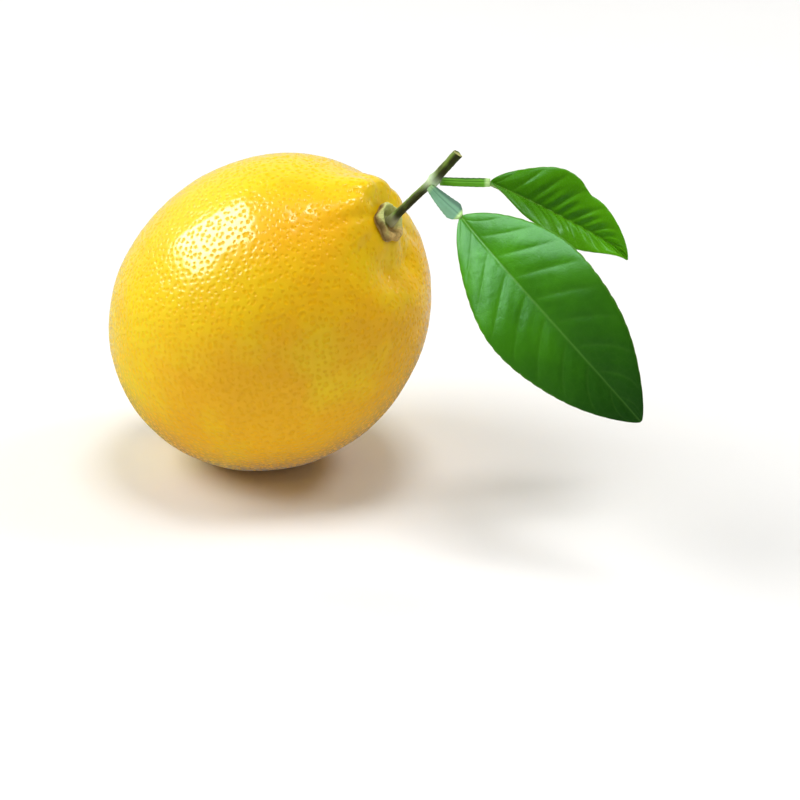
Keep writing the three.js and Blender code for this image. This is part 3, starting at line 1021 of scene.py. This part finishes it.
@dataclass(frozen=True)
class Twig:
    """The stalk, the leaf node and the stub, ridged along, with an oblique cut at its end."""

    shape: FruitShape
    calyx: Calyx
    finish: BarkFinish
    stalk_length: float = 13.36
    stub_length: float = 8.2
    stalk_radius: float = 0.8
    stub_radius: float = 0.98
    foot_swelling: float = 0.35
    foot_reach: float = 2.0
    node_swelling: float = 0.34
    node_reach: float = 1.1
    cut_facing: tuple[float, float] = (-5.0, 58.0)
    ridges: int = 5
    ridge_height: float = 0.055
    fibre_height: float = 0.012
    cut_shares: tuple[float, ...] = (0.06, 0.16, 0.45, 0.8)
    cut_heights: tuple[float, ...] = (0.06, 0.02, -0.06, -0.14)

    def stalk(self) -> Stretch:
        """The thin stretch from the calyx to the node."""
        height = self.calyx.floor_height() + CLEARANCE
        start = self.shape.to_part(np.array([*self.shape.seat, height]))
        return Stretch(start, self.stalk_length, (24.3, 20.8), (49.5, 43.5), count=110)

    def node(self) -> Array:
        """The middle of the leaf node."""
        return self.stalk().points[-1]

    def shell(self) -> Shell:
        """The twig's rings from its foot to its cut, then smaller rings over the cut's face."""
        stalk = self.stalk()
        stub = Stretch(stalk.points[-1], self.stub_length, (30, 30), (50, 50), count=70)
        join = {
            key: np.concatenate([getattr(stalk, key), getattr(stub, key)[1:]])
            for key in ("points", "along", "side", "normal")
        }
        beyond = self.stalk_length + stub.share[1:] * self.stub_length
        distance = np.concatenate([stalk.share * self.stalk_length, beyond])[:, None]
        angle = np.linspace(0, TURN, 64, endpoint=False)[None, :]
        blend = smooth_step(self.stalk_length - 0.8, self.stalk_length + 0.8, distance)
        body = self.stalk_radius + (self.stub_radius - self.stalk_radius) * blend
        body = body + self.foot_swelling * gaussian(distance, 0, self.foot_reach)
        body = body + self.node_swelling * gaussian(distance, self.stalk_length, self.node_reach)
        twist = 0.05 * distance
        ridge = np.cos(self.ridges * (angle + twist)) ** 3
        fibres = np.cos(23 * angle + 5 * np.sin(2 * angle + twist))
        calm = 1 - 0.7 * gaussian(distance, self.stalk_length, self.node_reach)
        relief = self.ridge_height * ridge + self.fibre_height * fibres
        radius = body * (1 + relief * calm)
        offset = (
            (radius * np.cos(angle))[..., None] * join["side"][:, None]
            + (radius * np.sin(angle))[..., None] * join["normal"][:, None]
        )
        spots = join["points"][:, None] + offset
        uneven = 1 + 0.05 * lumps(spots, 1.1, 21) + 0.03 * lumps(spots, 0.5, 22)
        offset = offset * uneven[..., None]
        facing = join["along"].copy()
        facing[0] = self.shape.seat_normal()
        facing[-1] = direction(*self.cut_facing)
        steepness = np.einsum("rk,rk->r", join["along"], facing)[:, None]
        tilt = np.einsum("rck,rk->rc", offset, facing) / steepness
        rings = join["points"][:, None] + offset - tilt[..., None] * join["along"][:, None]
        inward = rings[-1].mean(axis=0) - rings[-1]
        face = np.array([rings[-1] + inward * share for share in self.cut_shares])
        heights = np.array(self.cut_heights)[:, None, None]
        rings = np.concatenate([rings, face + heights * facing[-1]])
        # painted light where the twig faces up and left towards the lights, painted shade below
        upper = offset @ np.array([-0.4, 0.3, 0.86]) / radius
        bark = {
            "stripe": smooth_step(-0.5, 0.9, upper + 0.45 * ridge + 0.6 * lumps(spots, 1.6, 23)),
            "node": gaussian(distance, self.stalk_length - 0.1, 1.5) + 0 * angle,
            "foot": 0.85 * smooth_step(3.0, 0.8, distance) + 0 * angle,
            "cut": 0 * radius,
        }
        cut = np.ones(face.shape[:2])
        masks = {name: np.vstack([mask, cut * (name == "cut")]) for name, mask in bark.items()}
        return loft(rings, join["points"][0], rings[-1].mean(axis=0), masks)

    def build(self) -> None:
        """Adds the twig to the scene."""
        make_piece("twig", self.shell(), self.finish.build())


@dataclass(frozen=True)
class Petiole:
    """A winged leaf stalk: a round rib between thin wings that end short of the blade."""

    name: str
    finish: PetioleFinish
    node: Array
    length: float
    heading: tuple[float, float]
    pitch: tuple[float, float]
    roll: tuple[float, float]
    narrow: float
    wide: float
    widest_at: float
    base: tuple[float, float, float] = (0.0, 0.0, 0.0)
    start: float = 1.25
    rib: float = 0.58
    groove: float = 0.14
    reach: float = 0.3

    def stretch(self) -> Stretch:
        """The stalk's path from its base beside the middle of the node."""
        start = self.node + np.array(self.base)
        return Stretch(start, self.length, self.heading, self.pitch, self.roll, count=120)

    def joint(self) -> Array:
        """Where the blade is jointed on."""
        path = self.stretch()
        return path.points[-1] + CLEARANCE * path.along[-1]

    def half_width(self, share: Array) -> Array:
        """Half width along the stalk: an even widening, then a quick narrowing at the blade."""
        before = (share / self.widest_at) ** 0.75
        left = np.clip((share - self.widest_at) / (1 - self.widest_at), 0, 1)
        after = np.cos(math.pi / 2 * left) ** 0.8
        wing = np.where(share < self.widest_at, before, after)
        return self.narrow + (self.wide - self.narrow) * wing

    def shell(self) -> Shell:
        """Rings of a flat section whose thickness is a bell for the rib over thin wings."""
        path = self.stretch()
        shown = path.share * self.length >= self.start
        for key in ("points", "side", "normal", "along", "share"):
            setattr(path, key, getattr(path, key)[shown])
        share = path.share[:, None]
        angle = np.linspace(0, TURN, 56, endpoint=False)[None, :]
        half = self.half_width(share) * (1 + 0.015 * np.sin(60 * share + 2 * np.cos(angle)))
        across = half * np.cos(angle)
        lobe = np.abs(np.sin(angle)) ** 0.75
        wing = 0.14 + 0.1 * (1 - smooth_step(0.6, 1.2, half))
        lower = wing + (self.rib - wing) * gaussian(across, 0, 0.5)
        upper = wing + 0.16 * gaussian(across, 0, 0.55) - self.groove * gaussian(across, 0, 0.2)
        above = np.where(np.sin(angle) > 0, upper, -lower) * lobe
        lift = 0.1 * (np.abs(across) / self.wide) ** 2 * smooth_step(0.7, 1.4, half)
        rings = path.place(across, above + lift)
        is_upper = smooth_step(-0.1, 0.2, np.sin(angle)) + 0 * share
        edge = smooth_step(0.72, 0.98, np.abs(np.cos(angle))) + 0 * share
        ends = smooth_step(0.9, 0.97, share) + 0.5 * smooth_step(0.2, 0.1, share) + 0 * angle
        grain = 0.12 * lumps(rings, 1.4, 24)
        stripe = smooth_step(0.42, 0.72, np.cos(angle) + grain) * 0.85
        path.points[-1] += self.reach * path.along[-1]
        rings[-1] += self.reach * path.along[-1]
        line = 0.5 * gaussian(across, 0.12 * half, 0.09)
        masks = {
            "flank": np.clip(1 - is_upper + 0.6 * edge, 0, 1),
            "stripe": np.maximum(stripe, line * is_upper),
            "joint": ends,
        }
        return loft(rings, path.points[0], path.points[-1], masks)

    def build(self) -> None:
        """Adds the petiole to the scene."""
        make_piece(self.name, self.shell(), self.finish.build())


@dataclass(frozen=True)
class Blade:
    """A leaf blade folded along its midrib, puffed up between its veins, with a toothed edge."""

    name: str
    slot: Slot
    finish: BladeFinish
    joint: Array
    length: float
    heading: tuple[float, float]
    pitch: tuple[float, float]
    roll: tuple[float, float]
    halves: tuple[float, float]
    belly: float
    fullness: float
    fold: tuple[float, float]
    phase: tuple[float, float]
    veins: int
    pucker: float
    teeth: int
    wave: float = 0.5
    waves: float = 2.2
    curl: float = -12.0
    slant: float = 0.16
    hook: float = 0.0
    notch: float = 0.0
    crinkle: float = 0.03
    thickness: float = 0.42
    tooth_depth: float = 0.01
    edge_at_base: float = 0.5
    edge_at_tip: float = 0.16
    rib: float = 0.42
    rib_width: float = 0.55
    channel: float = 0.12
    vein_depth: float = 0.035
    vein_below: float = 0.05
    stations: int = 300
    across: int = 60

    def shell(self) -> Shell:
        """Two faces alike on both sides of a bent sheet.

        At a share s along the midrib and t across, the sheet lies at a half width times t from the
        midrib, along a slope that starts at the fold and bends by the curl. The half width is a
        power of the sine of pi times a power of s. A wave grows with the square of t, and puffs
        stand between side veins, which run forward on their way out.
        """
        path = Stretch(
            self.joint, self.length, self.heading, self.pitch, self.roll, self.stations, self.hook
        )
        s = path.share[:, None]
        t = np.linspace(1, -1, self.across + 1)[None, :]
        out, is_left = np.abs(t), t > 0
        notch = np.where(is_left, self.notch * gaussian(s, 0.61, 0.06), 0.0)
        outline = np.maximum(np.sin(math.pi * s**self.belly), 0) ** self.fullness * (1 - notch)
        beat = np.mod(self.teeth * s + 0.15 * lumps(path.points * 0.35, 1.0, 31)[:, None], 1)
        tooth = 1 + self.tooth_depth * out**6 * np.sin(math.pi * beat**0.75)
        margin = self.edge_at_base + (self.edge_at_tip - self.edge_at_base) * s
        half = np.where(is_left, *self.halves) * outline * tooth + margin
        fold = np.radians(np.where(is_left, *self.fold))
        curl = math.radians(self.curl)
        slope = fold + curl * out / 2
        phase = np.radians(np.where(is_left, *self.phase))
        wave = self.wave * out**2 * np.sin(TURN * self.waves * s + phase) * np.sqrt(outline)
        stagger = np.where(is_left, 0.0, 0.35)
        beat = self.veins * (s - self.slant * out**1.15) + stagger
        between = np.abs(np.sin(math.pi * beat))
        puff = self.pucker * between**0.8 * np.sin(math.pi * out) * outline
        crease = np.sin(TURN * (2 * self.veins * (s - self.slant * out) + stagger))
        puff = puff + self.crinkle * crease * gaussian(out, 0.28, 0.24) * smooth_step(0.15, 0.5, s)
        across = half * out * np.cos(slope) * np.sign(t)
        path_points = path.place(across, half * out * np.sin(slope) + wave + puff)
        turn = np.where(out > 0, fold + curl * out, 0.0)
        face = (
            np.cos(turn)[..., None] * path.normal[:, None]
            - (np.sin(turn) * np.sign(t))[..., None] * path.side[:, None]
        )
        far = half * out
        rib = gaussian(far, 0, self.rib_width) * (1 - 0.75 * s)
        fine = 0.03 * lumps(path_points, 1.6, 32) + 0.015 * lumps(path_points, 0.8, 33)
        round_edge = np.sqrt(np.clip(1 - out**18, 0.02, 1))
        above = self.thickness / 2 * round_edge + fine * (1 - out**6)
        above = above - self.channel * gaussian(far, 0, 0.3) * (1 - s)
        below = self.thickness / 2 * round_edge + self.rib * rib
        inside = smooth_step(0.02, 0.12, out) * smooth_step(1.0, 0.75, out)
        vein = gaussian(between, 0.0, 0.13) * inside
        above = above - self.vein_depth * vein
        upper = path_points + above[..., None] * face
        lower = path_points - (below + self.vein_below * vein)[..., None] * face
        rings = np.concatenate([upper, lower[:, ::-1]], axis=1)
        flat = 0 * far
        masks = {
            "midrib": (0.55 - 0.35 * s) * gaussian(far, 0, 0.2),
            "side_vein": vein + flat,
            "margin": smooth_step(0.985, 0.998, out + flat) * 0.25,
            "reach": s + flat,
        }
        both = {name: np.concatenate([mask, mask[:, ::-1]], axis=1) for name, mask in masks.items()}
        both["under"] = np.concatenate([flat, flat + 1], axis=1)
        return loft(rings, path.points[0], path.points[-1], both)

    def build(self) -> None:
        """Adds the blade to the scene."""
        make_piece(self.name, self.shell(), self.finish.build())


# Floor, light and camera


class Role(Enum):
    """What a light is for: to light matt surfaces, or to be mirrored in glossy ones."""

    FILL = "fill"
    MIRRORED = "mirrored"


@dataclass(frozen=True)
class Softbox:
    """A square area light that looks at the fruit."""

    name: str
    role: Role
    place: tuple[float, float, float]
    size: float
    watts: float

    def build(self) -> None:
        """Adds the light to the scene."""
        lamp = bpy.data.lights.new(self.name, "AREA")
        lamp.shape = "SQUARE"
        lamp.size = self.size * METRES
        lamp.energy = self.watts
        holder = bpy.data.objects.new(self.name, lamp)
        holder.matrix_world = look_at(np.array(self.place), np.array([0.0, 0.0, 30.0]))
        holder.visible_diffuse = self.role is Role.FILL
        holder.visible_glossy = self.role is Role.MIRRORED
        bpy.context.scene.collection.objects.link(holder)


def look_at(place: Array, aim: Array) -> Matrix:
    """The matrix of a camera or lamp at a place that looks at an aim, level, in metres."""
    back = unit(place - aim)
    right = unit(np.cross([0.0, 0.0, 1.0], back))
    turn = np.stack([right, np.cross(back, right), back], axis=1)
    matrix = Matrix(turn.tolist()).to_4x4()
    matrix.translation = (place * METRES).tolist()
    return matrix


@dataclass(frozen=True)
class Studio:
    """A pale seamless floor, soft light all round, a white backdrop, the lights and the camera."""

    aim: tuple[float, float, float] = (30.78, -8.48, 16.27)
    elevation: float = 24.0
    distance: float = 458.8
    lens: float = 100.0
    sensor: float = 36.0
    sky: float = 0.22
    backdrop: float = 0.65
    backdrop_behind: tuple[float, float] = (0.45, 0.85)
    backdrop_foot: tuple[float, float] = (-0.52, -0.4)
    floor_half: float = 3000.0
    lights: tuple[Softbox, ...] = (
        Softbox("left_fill", Role.FILL, (-1010.0, 20.0, 1000.0), 900.0, 15.0),
        Softbox("top_fill", Role.FILL, (180.0, 60.0, 1480.0), 500.0, 9.6),
        Softbox("right_fill", Role.FILL, (930.0, 260.0, 1080.0), 400.0, 5.0),
        Softbox("left_mirrored", Role.MIRRORED, (-980.0, 20.0, 1080.0), 1020.0, 41.0),
        Softbox("top_mirrored", Role.MIRRORED, (200.0, -40.0, 1480.0), 300.0, 3.4),
        Softbox("right_mirrored", Role.MIRRORED, (930.0, 260.0, 1080.0), 320.0, 6.0),
    )

    def build(self) -> None:
        """Adds the floor, the sky, the lights and the camera."""
        self._floor()
        self._sky()
        for light in self.lights:
            light.build()
        camera = bpy.data.cameras.new("view")
        camera.lens = self.lens
        camera.sensor_width = self.sensor
        camera.sensor_fit = "HORIZONTAL"
        camera.clip_end = 20.0
        holder = bpy.data.objects.new("view", camera)
        aim = np.array(self.aim)
        back = direction(90.0, self.elevation)
        holder.matrix_world = look_at(aim + back * self.distance, aim)
        bpy.context.scene.collection.objects.link(holder)
        bpy.context.scene.camera = holder
        bpy.context.scene.view_settings.view_transform = "Standard"

    def _floor(self) -> None:
        """A wide level sheet with a faint unevenness in its tone."""
        far = self.floor_half * METRES
        mesh = bpy.data.meshes.new("floor")
        corners = [(-far, -far, 0), (far, -far, 0), (far, far, 0), (-far, far, 0)]
        mesh.from_pydata(corners, [], [(0, 1, 2, 3)])
        shading, shader, material = new_material("pale_floor")
        tone = shading.blend(shading.noise(60.0, 2.0), paint("efefef"), paint("f2f2f2"))
        shading.feed(shader.inputs["Base Color"], tone)
        shader.inputs["Roughness"].default_value = 0.6
        shader.inputs["Specular IOR Level"].default_value = 0.2
        mesh.materials.append(material)
        floor = bpy.data.objects.new("floor", mesh)
        bpy.context.scene.collection.objects.link(floor)
        floor.visible_glossy = False

    def _sky(self) -> None:
        """Even, slightly warm light from all round, and a white backdrop in what is mirrored.

        The backdrop rises with a direction's Y, so only edges seen at a grazing angle mirror it.
        It ends lower down, because the underside mirrors the shade it stands in.
        """
        world = bpy.data.worlds.new("even_warm")
        world.use_nodes = True
        background = world.node_tree.nodes["Background"]
        background.inputs["Color"].default_value = (1.0, 0.97, 0.88, 1.0)
        shading = Shading(world.node_tree)
        away = shading.add("ShaderNodeTexCoord", {}).outputs["Generated"]
        parts = shading.add("ShaderNodeSeparateXYZ", {0: away}).outputs
        extra = self.backdrop - self.sky
        extra = shading.remap(parts["Y"], *self.backdrop_behind, 0.0, extra)
        above = shading.remap(parts["Z"], *self.backdrop_foot, 0.0, 1.0)
        extra = shading.math("MULTIPLY", extra, above)
        mirrored = shading.add("ShaderNodeLightPath", {}).outputs["Is Glossy Ray"]
        strength = shading.math("MULTIPLY_ADD", mirrored, extra, self.sky)
        shading.feed(background.inputs["Strength"], strength)
        bpy.context.scene.world = world


def build_large_leaf(effects: SharedEffects, node: Array) -> None:
    """Adds the large dark leaf: its broad-winged petiole and its blade."""
    stalk_finish = PetioleFinish(
        effects, "winged_stalk", upper="6ea883", lower="64986f", stripe="3a6a52",
    )
    petiole = Petiole(
        "petiole_large", stalk_finish, node, length=9.75, heading=(45.9, 41.9),
        pitch=(-32.3, -22.3), roll=(48, 50), narrow=0.55, wide=1.85, widest_at=0.78,
        base=(-1.1, -0.6, -0.5), start=0.7,
    )
    petiole.build()
    # far is painted shade on the outer part of the blade, which turns away from the lights
    finish = BladeFinish(
        effects, "dark_blade", ground="4a9a06", patch="3c8402", vein="70a848", margin="7fa850",
        under="6f9a5c", far="0a3200", gloss=0.26,
    )
    Blade(
        "blade_large", Slot.DARK_LEAF, finish, petiole.joint(), length=54.7, heading=(60.5, 29),
        pitch=(-20, -42), roll=(47, 84), halves=(12.9, 11.4), belly=1.04, fullness=0.76,
        fold=(11.6, 11), phase=(29, 115), veins=9, pucker=0.22, teeth=22,
    ).build()


def build_small_leaf(effects: SharedEffects, node: Array) -> None:
    """Adds the small bright leaf: its grooved petiole and its strongly folded blade."""
    stalk_finish = PetioleFinish(
        effects, "grooved_stalk", upper="64b01a", lower="56a016", stripe="2a5a0e",
    )
    petiole = Petiole(
        "petiole_small", stalk_finish, node, length=10.7, heading=(3, 3), pitch=(-3, 1),
        roll=(38, 38), narrow=0.95, wide=1.05, widest_at=0.85,
    )
    petiole.build()
    finish = BladeFinish(
        effects, "bright_blade", ground="468c02", patch="3b7a02", vein="86b83c", margin="8cbc50",
        under="8fb56a", far="64b80c", gloss=0.2,
    )
    Blade(
        "blade_small", Slot.BRIGHT_LEAF, finish, petiole.joint(), length=31.9, heading=(-12, 9),
        pitch=(-27.8, -28.7), roll=(28, 62), halves=(8.1, 6.8), belly=0.85, fullness=1.02,
        fold=(25.5, 27), phase=(127, 103), veins=7, pucker=0.4, teeth=16, wave=0.6, curl=-10,
        hook=-30, notch=0.1, crinkle=0.22, stations=200,
    ).build()


def main() -> None:
    """Builds the stage and every piece in order."""
    logging.basicConfig(level=logging.INFO, format="%(name)s: %(message)s")
    effects = SharedEffects()
    Studio().build()
    shape = FruitShape()
    Fruit(shape, Glands(), RindFinish(effects)).build()
    calyx = Calyx(shape, CalyxFinish(effects))
    calyx.build()
    twig = Twig(shape, calyx, BarkFinish(effects))
    twig.build()
    build_large_leaf(effects, twig.node())
    build_small_leaf(effects, twig.node())


if __name__ == "__main__":
    main()
